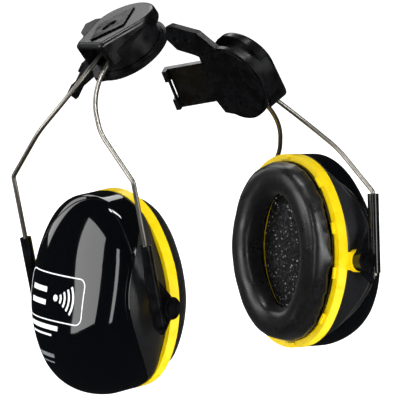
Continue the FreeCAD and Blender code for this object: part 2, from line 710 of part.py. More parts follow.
def make_ring(side, frame):
    """Bright ring between shell and cushion, with ears and bosses for the pins and a row of lugs."""
    body = new_body(f"{UNIT_NAME[side]}_ring")
    base = size("ring_offset")
    depth = size("ring_depth")
    plate = size("ring_plate")
    lines = oval() + oval(size("ring_band"))
    pad(body, "Band", draw(body, "BandLine", lines, base), "ring_depth")
    lines = oval(size("ring_band") - 1) + oval(size("ring_opening_inset"))
    seat = base + depth - plate - size("plate_setback")
    pad(body, "Plate", draw(body, "PlateLine", lines, seat), "ring_plate")
    half = size("cup_width") / 2
    wall = size("ear_wall")
    for number, end in enumerate(ENDS):
        tab = draw(body, f"EarLine{number}", ear_outline(), role="YZ_Plane")
        low = half - wall if end > 0 else -half
        tab.AttachmentOffset = Placement(Vector(0, 0, low), Rotation())
        pad(body, f"Ear{number}", tab, "ear_wall")
        boss = draw(body, f"BossLine{number}", ring_outline(size("boss_radius")), role="YZ_Plane")
        reach = leg_spread() - size("eye_width") / 2 - size("face_gap")
        boss.AttachmentOffset = Placement(Vector(0, 0, half - wall if end > 0 else -reach), Rotation())
        pad(body, f"Boss{number}", boss, f"{reach - half + wall}")
        bore = ring_outline(size("pin_radius") + size("shaft_gap"))
        hole = draw(body, f"HoleLine{number}", bore, role="YZ_Plane")
        low = half - wall - OVERLAP if end > 0 else -reach - OVERLAP
        hole.AttachmentOffset = Placement(Vector(0, 0, low), Rotation())
        pocket(body, f"Hole{number}", hole, f"{reach - half + wall + 2 * OVERLAP}", up=True)
    lug_lines = []
    for number in range(10):
        angle = math.radians(18 + 36 * number)
        inset = size("lug_inset") + size("lug_wall") / 2
        spot = oval_point(inset, angle)
        half_length = size("lug_length") / 2
        along = (oval_point(inset, angle + 0.02) - oval_point(inset, angle - 0.02)).normalize()
        out = Vector(along.y, -along.x, 0)
        corners = [
            spot + along * a * half_length + out * b * size("lug_wall") / 2
            for a, b in ((-1, -1), (-1, 1), (1, 1), (1, -1))
        ]
        lug_lines += polygon([(c.x, c.y) for c in corners])
    lugs = draw(body, "LugLine", lug_lines, base + depth)
    pad(body, "Lugs", lugs, "lug_height")
    body.Placement = frame


def make_carrier(side, frame):
    """Stiff plate that the cushion is welded to, clipped in front of the ring."""
    body = new_body(f"{UNIT_NAME[side]}_cushion_plate")
    height = size("ring_offset") + size("ring_depth") + size("seat_gap")
    outer = size("cushion_inset") + size("carrier_inset")
    lines = oval(outer) + oval(size("cushion_inset") + size("cushion_roll") - size("carrier_overlap"))
    pad(body, "Plate", draw(body, "PlateLine", lines, height), "carrier_wall")
    body.Placement = frame


def make_cushion(side, frame):
    """Soft ring that seals round the ear, as a plain rounded solid."""
    body = new_body(f"{UNIT_NAME[side]}_ear_cushion")
    height = size("ring_offset") + size("ring_depth") + 2 * size("seat_gap") + size("carrier_wall")
    lines = oval(size("cushion_inset")) + oval(size("cushion_inset") + size("cushion_roll"))
    pad(body, "Roll", draw(body, "RollLine", lines, height), "cushion_depth")
    round_edges(body, "Soft", lambda p: p.z > height + 0.5, "cushion_rounding")
    body.Placement = frame


def make_foam(side, frame):
    """Sound-absorbing foam pad inside the shell, behind the ring's plate."""
    body = new_body(f"{UNIT_NAME[side]}_foam_pad")
    inset = size("shell_step") + size("shell_wall") + size("face_gap")
    plate = size("ring_plate") + size("plate_setback")
    top = size("ring_offset") + size("ring_depth") - plate - size("face_gap")
    bottom = -size("foam_back")
    lines = oval(inset + size("foam_inset"))
    pad(body, "Pad", draw(body, "PadLine", lines, bottom), f"{top - bottom}")
    body.Placement = frame


# ---------------------------------------------------------------- assembly


def make_unit(side):
    """All pieces of one unit in their rest places."""
    bracket = bracket_frame(side)
    head = head_frame(side)
    fork = fork_frame(side)
    yoke = fork * shifted(0, 0, -size("leg_drop") - REST[side]["slide"])
    cup = cup_frame(side)
    pin_middle = yoke * shifted(0, size("leg_reach") - size("sleeve_pin_inset"), -size("sleeve_pin_drop"))
    make_bracket(side, bracket)
    make_snap_ring(side, head)
    make_drum(side, head)
    make_cap(side, head)
    make_emblem(side, head)
    make_flip_spring(side, head)
    make_fork(side, fork)
    make_fork_block(side, fork)
    for end in ENDS:
        make_sleeve(side, end, yoke)
        make_pin(side, end, pin_middle)
    make_shell(side, cup)
    make_ring(side, cup)
    make_carrier(side, cup)
    make_cushion(side, cup)
    make_foam(side, cup)


fork_shape = make_fork_shape()
for unit in (LEFT, RIGHT):
    make_unit(unit)
doc.recompute()

for item in doc.Objects:
    if "Invalid" in item.State or "Error" in item.State:
        raise ValueError(f"{item.Label} failed: {item.State}")
os.makedirs("parts", exist_ok=True)
for piece in pieces:
    if piece.Shape.isNull() or not piece.Shape.isValid():
        raise ValueError(f"{piece.Label} has no valid shape")
for piece in pieces:
    piece.Shape.exportStep(os.path.join("parts", f"{piece.Label}.step"))
    print(piece.Label, round(piece.Shape.Volume, 1), len(piece.Shape.Solids))
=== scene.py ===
"""Looks of a pair of helmet-mount ear muffs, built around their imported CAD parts."""

import json
import logging
import math
from dataclasses import dataclass
from enum import Enum

import bmesh
import bpy
from mathutils import Matrix, Vector, noise
from mathutils.bvhtree import BVHTree


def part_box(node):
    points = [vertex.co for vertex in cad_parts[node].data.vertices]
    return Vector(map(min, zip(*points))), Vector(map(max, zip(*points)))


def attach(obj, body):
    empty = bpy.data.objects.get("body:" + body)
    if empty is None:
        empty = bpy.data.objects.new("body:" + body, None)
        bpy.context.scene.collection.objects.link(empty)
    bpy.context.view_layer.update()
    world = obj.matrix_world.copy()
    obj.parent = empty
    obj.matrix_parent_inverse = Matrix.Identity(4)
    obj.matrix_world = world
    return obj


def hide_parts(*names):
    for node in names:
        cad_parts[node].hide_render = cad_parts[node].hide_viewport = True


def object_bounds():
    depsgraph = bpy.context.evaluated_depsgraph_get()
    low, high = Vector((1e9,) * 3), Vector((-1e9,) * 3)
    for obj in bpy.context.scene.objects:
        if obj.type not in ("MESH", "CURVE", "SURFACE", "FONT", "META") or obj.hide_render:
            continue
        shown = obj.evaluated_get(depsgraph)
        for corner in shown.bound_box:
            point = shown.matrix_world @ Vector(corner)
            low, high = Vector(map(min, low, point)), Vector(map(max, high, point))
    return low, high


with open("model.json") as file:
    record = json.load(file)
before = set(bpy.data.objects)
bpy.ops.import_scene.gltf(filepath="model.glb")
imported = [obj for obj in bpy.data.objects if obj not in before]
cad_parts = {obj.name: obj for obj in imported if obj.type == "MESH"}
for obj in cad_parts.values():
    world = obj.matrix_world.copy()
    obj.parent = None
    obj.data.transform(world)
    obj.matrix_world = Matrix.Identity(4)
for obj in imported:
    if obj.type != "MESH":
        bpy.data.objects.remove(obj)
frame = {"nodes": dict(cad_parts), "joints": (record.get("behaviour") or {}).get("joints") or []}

MM = 0.001
WELD = 0.005 * MM  # points of a CAD part that are nearer than this are one point
WEAK, STRONG = 0.3, 0.7  # most of a noise pattern's values lie between these
SMOOTHING = 0.5  # how far a smoothed point moves to its neighbours' middle
CAD_BOX = [list(corner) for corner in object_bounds()]
LOG = logging.getLogger("ear_muffs")


class Side(Enum):
    """Which of the wearer's ears a unit belongs to."""

    LEFT = "left"
    RIGHT = "right"


def colour(code: str) -> tuple[float, float, float, float]:
    """Turn an sRGB hex colour to linear light.

    Args:
        code: The colour, such as "#ffe000".

    Returns:
        Red, green, blue and full opacity.
    """
    parts = [int(code[i : i + 2], 16) / 255 for i in (1, 3, 5)]
    linear = [p / 12.92 if p <= 0.04045 else ((p + 0.055) / 1.055) ** 2.4 for p in parts]
    return (*linear, 1.0)


def grain(size: float) -> float:
    """Return the texture scale whose features are `size` millimetres across."""
    return 1.0 / (size * MM)


def add_node(tree: bpy.types.NodeTree, kind: str, inputs: dict, **settings) -> bpy.types.Node:
    """Add one node with its settings, values and links.

    Args:
        tree: The material's or world's nodes.
        kind: The node's Blender type.
        inputs: Each socket's name or number, with its value or the socket it is linked from.
        **settings: The node's own settings.

    Returns:
        The new node.
    """
    made = tree.nodes.new(kind)
    for name, value in settings.items():
        setattr(made, name, value)
    for name, value in inputs.items():
        if isinstance(value, bpy.types.NodeSocket):
            tree.links.new(value, made.inputs[name])
        else:
            made.inputs[name].default_value = value
    return made


@dataclass(frozen=True)
class Finish:
    """A moulded, drawn or sewn surface, with what all of them share."""

    name: str
    tint: str
    roughness: float
    ior: float = 1.5
    metallic: float = 0.0

    def start(self) -> tuple[bpy.types.Material, bpy.types.Node]:
        """Make the material with one shader.

        Returns:
            The material and its shader node.
        """
        material = bpy.data.materials.new(self.name)
        material.use_nodes = True
        material.diffuse_color = colour(self.tint)
        shader = material.node_tree.nodes["Principled BSDF"]
        shader.inputs["Base Color"].default_value = colour(self.tint)
        shader.inputs["Roughness"].default_value = self.roughness
        shader.inputs["IOR"].default_value = self.ior
        shader.inputs["Metallic"].default_value = self.metallic
        return material, shader

    def place(self, tree: bpy.types.NodeTree, stretch: tuple = (1.0, 1.0, 1.0)) -> bpy.types.NodeSocket:
        """Give the pattern's coordinates, in metres on the piece.

        Args:
            tree: The material's nodes.
            stretch: How much finer the pattern is along each axis.

        Returns:
            The socket that holds the coordinates.
        """
        where = add_node(tree, "ShaderNodeTexCoord", {})
        mapped = add_node(
            tree, "ShaderNodeMapping", {"Vector": where.outputs["Object"], "Scale": stretch}
        )
        return mapped.outputs["Vector"]

    def mottle(
        self, tree: bpy.types.NodeTree, where: bpy.types.NodeSocket, size: float, detail: float
    ) -> bpy.types.NodeSocket:
        """Give a cloudy pattern.

        Args:
            tree: The material's nodes.
            where: The pattern's coordinates.
            size: How far apart its spots are, in millimetres.
            detail: How much finer structure it has.

        Returns:
            The pattern.
        """
        made = add_node(
            tree, "ShaderNodeTexNoise", {"Vector": where, "Scale": grain(size), "Detail": detail}
        )
        return made.outputs["Fac"]

    def spread(
        self, tree: bpy.types.NodeTree, value: bpy.types.NodeSocket, low: float, high: float
    ) -> bpy.types.NodeSocket:
        """Stretch a pattern's middle range to run from low to high.

        Args:
            tree: The material's nodes.
            value: The pattern.
            low: The value where the pattern is weak.
            high: The value where it is strong.

        Returns:
            The stretched pattern.
        """
        made = add_node(
            tree, "ShaderNodeMapRange",
            {"Value": value, "From Min": WEAK, "From Max": STRONG, "To Min": low, "To Max": high},
        )
        return made.outputs["Result"]

    def tints(
        self, tree: bpy.types.NodeTree, value: bpy.types.NodeSocket, stops: dict[float, str]
    ) -> bpy.types.NodeSocket:
        """Colour a pattern.

        Args:
            tree: The material's nodes.
            value: The pattern.
            stops: Each colour's place on the pattern.

        Returns:
            The coloured pattern.
        """
        ramp = add_node(tree, "ShaderNodeValToRGB", {"Fac": value})
        for element, (position, code) in zip(ramp.color_ramp.elements, list(stops.items())[:2]):
            element.position = position
            element.color = colour(code)
        for position, code in list(stops.items())[2:]:
            ramp.color_ramp.elements.new(position).color = colour(code)
        return ramp.outputs["Color"]

    def relief(
        self,
        tree: bpy.types.NodeTree,
        shader: bpy.types.Node,
        layers: list[tuple[bpy.types.NodeSocket, float]],
    ) -> None:
        """Raise the surface by one or more patterns.

        Args:
            tree: The material's nodes.
            shader: The shader that gets the relief.
            layers: Each pattern with its height in millimetres.
        """
        below = None
        for value, height in layers:
            inputs = {"Height": value, "Distance": height * MM, "Strength": 1.0}
            if below:
                inputs["Normal"] = below
            below = add_node(tree, "ShaderNodeBump", inputs).outputs["Normal"]
        tree.links.new(below, shader.inputs["Normal"])


@dataclass(frozen=True)
class PolishedAbs(Finish):
    """ABS moulded in a polished tool: deep gloss, with the faint waviness of a cooled wall."""

    wave: float = 26.0
    wave_height: float = 0.035
    smear: float = 9.0
    clean: float = 0.7
    dulled: float = 1.5

    def make(self) -> bpy.types.Material:
        """Build the material.

        Returns:
            The material.
        """
        material, shader = self.start()
        tree = material.node_tree
        where = self.place(tree)
        smears = self.mottle(tree, where, self.smear, 4.0)
        waves = self.mottle(tree, where, self.wave, 1.0)
        rough = self.spread(tree, smears, self.roughness * self.clean, self.roughness * self.dulled)
        tree.links.new(rough, shader.inputs["Roughness"])
        self.relief(tree, shader, [(waves, self.wave_height)])
        return material


@dataclass(frozen=True)
class GrainedPlastic(Finish):
    """Plastic moulded in a spark-eroded tool: a fine dry grain that sparkles a little, partly by painted
    highlights.
    """

    grit: float = 0.55
    grit_height: float = 0.07
    grit_detail: float = 3.0
    grit_roughness: float = 0.65
    pit: float = 0.88
    # the colour of the raised grit: a painted highlight
    light: str = "#26272b"
    hollow: float = 1.15
    peak: float = 0.75

    def make(self) -> bpy.types.Material:
        """Build the material.

        Returns:
            The material.
        """
        material, shader = self.start()
        tree = material.node_tree
        where = self.place(tree)
        # Real erosion grain is about 0.1 mm, which is too fine to see here, so it is drawn coarser.
        grit = add_node(
            tree, "ShaderNodeTexNoise",
            {
                "Vector": where, "Scale": grain(self.grit),
                "Detail": self.grit_detail, "Roughness": self.grit_roughness,
            },
        )
        pits = add_node(tree, "ShaderNodeTexVoronoi", {"Vector": where, "Scale": grain(self.pit)})
        # The raised grit is coloured lighter than the hollows between it: a painted highlight, while the
        # roughness change is real.
        base = self.tints(tree, grit.outputs["Fac"], {0.4: self.tint, 0.72: self.light})
        rough = self.spread(
            tree, grit.outputs["Fac"], self.roughness * self.hollow, self.roughness * self.peak
        )
        tree.links.new(base, shader.inputs["Base Color"])
        tree.links.new(rough, shader.inputs["Roughness"])
        layers = [
            (grit.outputs["Fac"], self.grit_height),
            (pits.outputs["Distance"], self.grit_height / 2),
        ]
        self.relief(tree, shader, layers)
        return material


@dataclass(frozen=True)
class SatinPlastic(Finish):
    """Plastic moulded in a lightly blasted tool: satin, with slow changes of sheen."""

    cloud: float = 7.0
    skin: float = 0.9
    skin_height: float = 0.003
    light: str = "#17181b"
    shiny: float = 0.8
    dull: float = 1.25

    def make(self) -> bpy.types.Material:
        """Build the material.

        Returns:
            The material.
        """
        material, shader = self.start()
        tree = material.node_tree
        where = self.place(tree)
        clouds = self.mottle(tree, where, self.cloud, 1.0)
        # The blasted skin is about 0.05 mm, too fine to see here, so it is drawn coarser.
        skin = self.mottle(tree, where, self.skin, 2.0)
        base = self.tints(tree, clouds, {0.35: self.tint, 0.75: self.light})
        rough = self.spread(tree, clouds, self.roughness * self.shiny, self.roughness * self.dull)
        tree.links.new(base, shader.inputs["Base Color"])
        tree.links.new(rough, shader.inputs["Roughness"])
        self.relief(tree, shader, [(skin, self.skin_height)])
        return material


@dataclass(frozen=True)
class VinylSkin(Finish):
    """Soft vinyl drawn over foam: a close pebble grain, slack waves and a broad sheen."""

    pebble: float = 0.8
    pebble_height: float = 0.035
    pebble_softness: float = 0.6
    slack: float = 11.0
    slack_height: float = 0.08
    bloom: float = 1.6
    light: str = "#1b1b1e"
    sheen: float = 0.08
    sheen_roughness: float = 0.4
    shiny: float = 0.85
    dull: float = 1.2

    def make(self) -> bpy.types.Material:
        """Build the material.

        Returns:
            The material.
        """
        material, shader = self.start()
        shader.inputs["Sheen Weight"].default_value = self.sheen
        shader.inputs["Sheen Roughness"].default_value = self.sheen_roughness
        tree = material.node_tree
        where = self.place(tree)
        # The vinyl's pebbles are about 0.3 mm, too fine to see here, so they are drawn coarser.
        pebbles = add_node(
            tree, "ShaderNodeTexVoronoi",
            {"Vector": where, "Scale": grain(self.pebble), "Smoothness": self.pebble_softness},
            feature="SMOOTH_F1",
        )
        slack = self.mottle(tree, where, self.slack, 1.0)
        bloom = self.mottle(tree, where, self.bloom, 3.0)
        base = self.tints(tree, bloom, {0.3: self.tint, 0.8: self.light})
        rough = self.spread(tree, slack, self.roughness * self.shiny, self.roughness * self.dull)
        tree.links.new(base, shader.inputs["Base Color"])
        tree.links.new(rough, shader.inputs["Roughness"])
        layers = [(slack, self.slack_height), (pebbles.outputs["Distance"], self.pebble_height)]
        self.relief(tree, shader, layers)
        return material


@dataclass(frozen=True)
class OpenCellFoam(Finish):
    """Reticulated polyurethane foam: grey struts, hollows darkened by painted shade, and painted glints
    on a few cell faces.
    """

    cell: float = 1.3
    cell_height: float = 0.5
    # the colour of the cells' hollows: painted shade
    hollow: str = "#040405"
    strut: str = "#2c2c30"
    glint: float = 0.7
    # the colour of the painted glints, a painted highlight
    glint_tint: str = "#9c9ca2"
    glint_from: float = 0.95
    glint_full: float = 0.98

    def make(self) -> bpy.types.Material:
        """Build the material.

        Returns:
            The material.
        """
        material, shader = self.start()
        tree = material.node_tree
        where = self.place(tree)
        cells = add_node(tree, "ShaderNodeTexVoronoi", {"Vector": where, "Scale": grain(self.cell)})
        glints = add_node(tree, "ShaderNodeTexVoronoi", {"Vector": where, "Scale": grain(self.glint)})
        depth = cells.outputs["Distance"]
        # The hollows of the cells, where the relief sinks, are coloured near black: painted shade.
        base = self.tints(tree, depth, {0.12: self.hollow, 0.55: self.tint, 0.8: self.strut})
        # Each small cell has a random red, and only the few with the highest one get a painted glint, a
        # painted highlight.
        chance = add_node(tree, "ShaderNodeSeparateColor", {"Color": glints.outputs["Color"]})
        spots = add_node(
            tree, "ShaderNodeMapRange",
            {"Value": chance.outputs["Red"], "From Min": self.glint_from, "From Max": self.glint_full},
        )
        mixed = add_node(
            tree, "ShaderNodeMix",
            {"Factor": spots.outputs["Result"], "A": base, "B": colour(self.glint_tint)},
            data_type="RGBA",
        )
        tree.links.new(mixed.outputs["Result"], shader.inputs["Base Color"])
        self.relief(tree, shader, [(depth, self.cell_height)])
        return material


@dataclass(frozen=True)
class DrawnSteel(Finish):
    """Steel drawn through a die: bright, with fine lines along it."""

    line: float = 0.5
    line_height: float = 0.01
    drawn: tuple = (1.0, 1.0, 0.05)
    bright: float = 0.8
    dull: float = 1.3

    def make(self) -> bpy.types.Material:
        """Build the material.

        Returns:
            The material.
        """
        material, shader = self.start()
        tree = material.node_tree
        where = self.place(tree, self.drawn)
        # Real die lines are a few hundredths of a millimetre apart, so these are drawn coarser.
        lines = self.mottle(tree, where, self.line, 3.0)
        rough = self.spread(tree, lines, self.roughness * self.bright, self.roughness * self.dull)
        tree.links.new(rough, shader.inputs["Roughness"])
        self.relief(tree, shader, [(lines, self.line_height)])
        return material


@dataclass(frozen=True)
class PrintedInk(Finish):
    """Pad-printed ink: flat and slightly uneven."""

    shade: str = "#bfc0c4"
    spot: float = 1.5

    def make(self) -> bpy.types.Material:
        """Build the material.

        Returns:
            The material.
        """
        material, shader = self.start()
        tree = material.node_tree
        spots = self.mottle(tree, self.place(tree), self.spot, 4.0)
        base = self.tints(tree, spots, {0.25: self.shade, 0.5: self.tint})
        tree.links.new(base, shader.inputs["Base Color"])
        return material


class Finishes:
    """Every finish of the pair, made once."""

    def __init__(self) -> None:
        """Make the materials."""
        self.gloss = PolishedAbs("polished_black_abs", "#040507", roughness=0.045, ior=1.56).make()
        self.grained = GrainedPlastic("grained_black_abs", "#0c0d0f", roughness=0.45, ior=1.53).make()
        self.drum = SatinPlastic(
            "lathe_satin_black_nylon", "#060607", roughness=0.32, ior=1.53, light="#101114"
        ).make()
        self.satin = SatinPlastic(
            "satin_black_nylon", "#050506", roughness=0.26, ior=1.53, light="#0d0e10"
        ).make()
        self.sleeve = SatinPlastic(
            "smooth_black_acetal", "#060607", roughness=0.14, ior=1.48, light="#101114"
        ).make()
        self.yellow = SatinPlastic(
            "satin_yellow_abs", "#f0cc00", roughness=0.3, ior=1.53, light="#f6d808"
        ).make()
        self.skin = VinylSkin("soft_black_vinyl", "#060607", roughness=0.3, ior=1.54).make()
        self.foam = OpenCellFoam("open_cell_foam", "#141416", roughness=0.9).make()
        self.wire = DrawnSteel(
            "drawn_stainless_wire", "#a8a49c", roughness=0.38, metallic=1.0
        ).make()
        self.spring = DrawnSteel(
            "blued_spring_steel", "#80838a", roughness=0.3, metallic=1.0, drawn=(1.0, 0.1, 1.0)
        ).make()
        self.white_ink = PrintedInk("white_print", "#eeeef0", roughness=0.5).make()
        self.grey_ink = PrintedInk("faint_print", "#6f7178", roughness=0.5, shade="#4b4d54").make()


def new_piece(name: str, mesh: bpy.types.Mesh, material: bpy.types.Material) -> bpy.types.Object:
    """Put a finished mesh in the scene as a piece with its object at the origin.

    Args:
        name: The piece's name.
        mesh: Its mesh, in place.
        material: Its finish.

    Returns:
        The new object.
    """
    mesh.materials.clear()
    mesh.materials.append(material)
    piece = bpy.data.objects.new(name, mesh)
    bpy.context.scene.collection.objects.link(piece)
    return piece


def face_towards(surface: bmesh.types.BMesh, outward: Vector) -> None:
    """Turn an open surface's faces to one side.

    Args:
        surface: The surface.
        outward: The direction that most of its area should face.
    """
    bmesh.ops.recalc_face_normals(surface, faces=surface.faces)
    if sum(face.normal.dot(outward) * face.calc_area() for face in surface.faces) < 0:
        bmesh.ops.reverse_faces(surface, faces=surface.faces)


def smoothed(surface: bmesh.types.BMesh, points: list[bmesh.types.BMVert], passes: int) -> None:
    """Smooth some of a surface's points and renew its normals.

    Args:
        surface: The surface.
        points: The points that may move.
        passes: How many times they are smoothed.
    """
    for _ in range(passes):
        bmesh.ops.smooth_vert(
            surface, verts=points, factor=SMOOTHING, use_axis_x=True, use_axis_y=True, use_axis_z=True
        )
    surface.normal_update()


def welded_copy(node: str) -> bmesh.types.BMesh:
    """Copy a CAD node's triangles and join them into one closed surface.

    Args:
        node: The node's name.

    Returns:
        The surface, which the caller frees.
    """
    surface = bmesh.new()
    surface.from_mesh(frame["nodes"][node].data)
    bmesh.ops.remove_doubles(surface, verts=surface.verts, dist=WELD)
    bmesh.ops.recalc_face_normals(surface, faces=surface.faces)
    return surface


def remeshed(surface: bmesh.types.BMesh, name: str, voxel: float) -> bpy.types.Mesh:
    """Cover a closed surface with even quads.

    Args:
        surface: The surface, which is freed.
        name: The new mesh's name.
        voxel: The quads' size in millimetres.

    Returns:
        The new mesh.
    """
    rough = bpy.data.meshes.new(name)
    surface.to_mesh(rough)
    surface.free()
    holder = bpy.data.objects.new(name, rough)
    bpy.context.scene.collection.objects.link(holder)
    remesh = holder.modifiers.new("Remesh", "REMESH")
    remesh.mode = "VOXEL"
    remesh.voxel_size = voxel * MM
    bpy.context.view_layer.update()
    evaluated = holder.evaluated_get(bpy.context.evaluated_depsgraph_get())
    even = bpy.data.meshes.new_from_object(evaluated)
    bpy.data.objects.remove(holder)
    bpy.data.meshes.remove(rough)
    even.name = name
    return even


class CupFrame:
    """Where a cup is: its origin on the pins' axis, x along them, y up the cup and z towards the ear."""

    def __init__(self, side: Side) -> None:
        """Find the frame from the cup's tilt joint and its flat cushion plate.

        Args:
            side: The unit's side.
        """
        self.side = side
        joint = next(j for j in frame["joints"] if j["name"] == f"{side.value}_cup_tilt")
        plate = frame["nodes"][f"{side.value}_cushion_plate"].data
        flat = max(plate.polygons, key=lambda face: face.area).normal
        shell_low, shell_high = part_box(f"{side.value}_cup_shell")
        skin_low, skin_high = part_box(f"{side.value}_ear_cushion")
        inward = skin_low + skin_high - shell_low - shell_high
        to_ear = flat.copy() if flat.dot(inward) > 0 else -flat
        along = Vector(joint["axis"])
        up = to_ear.cross(along).normalized()
        if up.z < 0:
            up = -up
        along = up.cross(to_ear).normalized()
        turn = Matrix((along, up, to_ear)).transposed().to_4x4()
        self.to_part = Matrix.Translation(Vector(joint["pos_m"])) @ turn
        self.from_part = self.to_part.inverted()

    def name(self, stem: str) -> str:
        """Return a node's or piece's full name."""
        return f"{self.side.value}_{stem}"

    def box(self, stem: str) -> tuple[Vector, Vector]:
        """Give a node's lowest and highest corners in the cup's frame.

        Args:
            stem: The node's name without its side.

        Returns:
            The two corners.
        """
        points = [self.from_part @ v.co for v in frame["nodes"][self.name(stem)].data.vertices]
        low = Vector([min(p[i] for p in points) for i in range(3)])
        high = Vector([max(p[i] for p in points) for i in range(3)])
        return low, high


@dataclass
class CupShell:
    """The shell: a polished dome whose edge swings back to leave a grained recess for each sleeve.

    Sizes are in millimetres. Shares run from 0 at the rim to 1 at the middle of the dome.
    """

    frame: CupFrame
    # The outline is four arcs, with its middle a little above the pins.
    half_height: float = 51.8
    top_radius: float = 34.5
    low_radius: float = 33.3
    side_radius: float = 64.5
    rise: float = 5.8
    # Seen from the side: a straight band from the rim, then a dome that is deeper towards its foot.
    rim: float = 6.65
    dome_start: float = -7.0
    dome_depth: float = 21.3
    dome_lean: float = 0.2
    crown: float = 5.0
    shoulder: float = 4.4
    roundness: float = 0.6
    closeness: float = 2.2
    band_share: float = 0.22
    # The dome's edge lies deepest beside the sleeves and runs up to the rim above and below them.
    edge_deepest: float = -18.0
    edge_middle: float = 3.0
    edge_reach: float = 43.0
    edge_from_rim: float = 1.0
    edge_limit: float = 0.9
    halvings: int = 24
    recess: float = 2.3
    recess_fade: float = 0.35
    lip: float = 0.3
    wall: float = 2.0
    # Rows of points: the recess's floor, the small step up to the edge, then the dome.
    spacing: float = 2.4
    floor_shares: tuple = (0.3, 0.6, 0.85, 0.97, 1.0)
    step_share: float = 0.004
    step_depth: float = 0.12
    crown_from: float = 0.009
    crown_to: float = 0.995
    rows: int = 26
    weld: float = 0.01

    def outline(
        self, dome: bmesh.types.BMesh, spot: bmesh.types.BMLayerItem
    ) -> list[bmesh.types.BMEdge]:
        """Draw the cup's outline as four arcs that run into each other.

        Args:
            dome: The shell's surface.
            spot: The layer that keeps each vertex's place on the outline.

        Returns:
            The outline's edges.
        """
        top = self.half_height - self.top_radius
        low = self.low_radius - self.half_height
        far_top = self.side_radius - self.top_radius
        far_low = self.side_radius - self.low_radius
        level = (top + low) / 2 - (far_top**2 - far_low**2) / (2 * (top - low))
        inward = math.sqrt(far_top**2 - (top - level) ** 2)
        upper = math.atan2(top - level, inward)
        lower = math.atan2(low - level, inward)
        for x, y, radius, start, end in (
            (0.0, top, self.top_radius, upper, math.pi - upper),
            (inward, level, self.side_radius, math.pi - upper, math.pi - lower),
            (0.0, low, self.low_radius, math.pi - lower, 2 * math.pi + lower),
            (-inward, level, self.side_radius, lower, upper),
        ):
            first = dome.verts.new((x + radius * math.cos(start), y + radius * math.sin(start), 0))
            bmesh.ops.spin(
                dome, geom=[first], cent=(x, y, 0), axis=(0, 0, 1), angle=end - start,
                steps=round(radius * (end - start) / self.spacing), use_merge=False,
            )
        bmesh.ops.remove_doubles(dome, verts=dome.verts, dist=self.weld)
        for vertex in dome.verts:
            vertex[spot] = vertex.co
        return dome.edges[:]

    def profile(self, spot: Vector, along: float, inset: float) -> Vector:
        """Give a point of the outer face.

        Args:
            spot: The point's place on the outline.
            along: How far it is from the rim, at 0, to the dome's middle, at 1.
            inset: How far it is set back, in millimetres.

        Returns:
            The point in the cup's frame, in millimetres.
        """
        if along < self.band_share:
            reach, bulge = 1.0, 0.0
            height = self.rim + (self.dome_start - self.rim) * along / self.band_share
        else:
            reach = 1.0 - ((along - self.band_share) / (1.0 - self.band_share)) ** self.closeness
            bulge = max(0.0, 1.0 - reach**self.shoulder) ** self.roundness
            height = self.dome_start
        flat = Vector((spot.x, spot.y, 0)) * reach
        flat -= flat.normalized() * min(inset, flat.length)
        up = flat.y + self.rise
        depth = bulge * (self.dome_depth - self.dome_lean * up + self.crown * (1.0 - reach**2))
        return Vector((flat.x, up, height - depth))

    def edge_share(self, spot: Vector) -> tuple[float, float]:
        """Find where the dome's edge runs at one place on the outline.

        Args:
            spot: The place on the outline.

        Returns:
            How far the edge is from the rim, as in profile, and how deep the recess is there.
        """
        off = min(1.0, abs(spot.y + self.rise - self.edge_middle) / self.edge_reach)
        highest = self.rim - self.edge_from_rim
        wanted = self.edge_deepest + (highest - self.edge_deepest) * off**2
        low, high = 0.0, self.edge_limit
        for _ in range(self.halvings):  # the range ends far under a micron wide
            middle = (low + high) / 2
            if self.profile(spot, middle, 0.0).z > wanted:
                low = middle
            else:
                high = middle
        fade = min(1.0, (1.0 - off) / self.recess_fade)
        return low, self.lip + (self.recess - self.lip) * fade * fade * (3 - 2 * fade)

    def surface(self) -> bmesh.types.BMesh:
        """Draw the outer face row by row, from the rim to the middle of the dome.

        Returns:
            The face in place, polished where its material index is 0 and grained where it is 1.
        """
        dome = bmesh.new()
        spot = dome.verts.layers.float_vector.new("outline")
        edges = self.outline(dome, spot)
        shares = {vertex[spot].to_tuple(3): self.edge_share(vertex[spot]) for vertex in dome.verts}
        for vertex in dome.verts:
            vertex.co = self.profile(vertex[spot], 0.0, shares[vertex[spot].to_tuple(3)][1])
        # Each row: its share of the way to the edge, its share of the way on, how recessed it is,
        # and the material of the faces that lead to it.
        crown = self.crown_to - self.crown_from
        rows = [(share, 0.0, 1.0, 1) for share in self.floor_shares]
        rows += [(1.0, self.step_share, self.step_depth, 1), (1.0, self.crown_from, 0.0, 0)]
        rows += [(1.0, self.crown_from + crown * n / self.rows, 0.0, 0) for n in range(1, self.rows + 1)]
        for share, onward, recessed, material in rows:
            older = set(dome.faces)
            grown = bmesh.ops.extrude_edge_only(dome, edges=edges)["geom"]
            edges = [item for item in grown if isinstance(item, bmesh.types.BMEdge)]
            for face in set(dome.faces) - older:
                face.material_index = material
            for vertex in {vertex for edge in edges for vertex in edge.verts}:
                start, depth = shares[vertex[spot].to_tuple(3)]
                along = start * share + (1.0 - start) * onward
                vertex.co = self.profile(vertex[spot], along, depth * recessed)
        cap = bmesh.ops.holes_fill(dome, edges=edges, sides=0)["faces"]
        bmesh.ops.poke(dome, faces=cap)
        placed = self.frame.to_part @ Matrix.Scale(MM, 4)
        bmesh.ops.transform(dome, matrix=placed, verts=dome.verts)
        face_towards(dome, -self.frame.to_part.col[2].to_3d())
        return dome

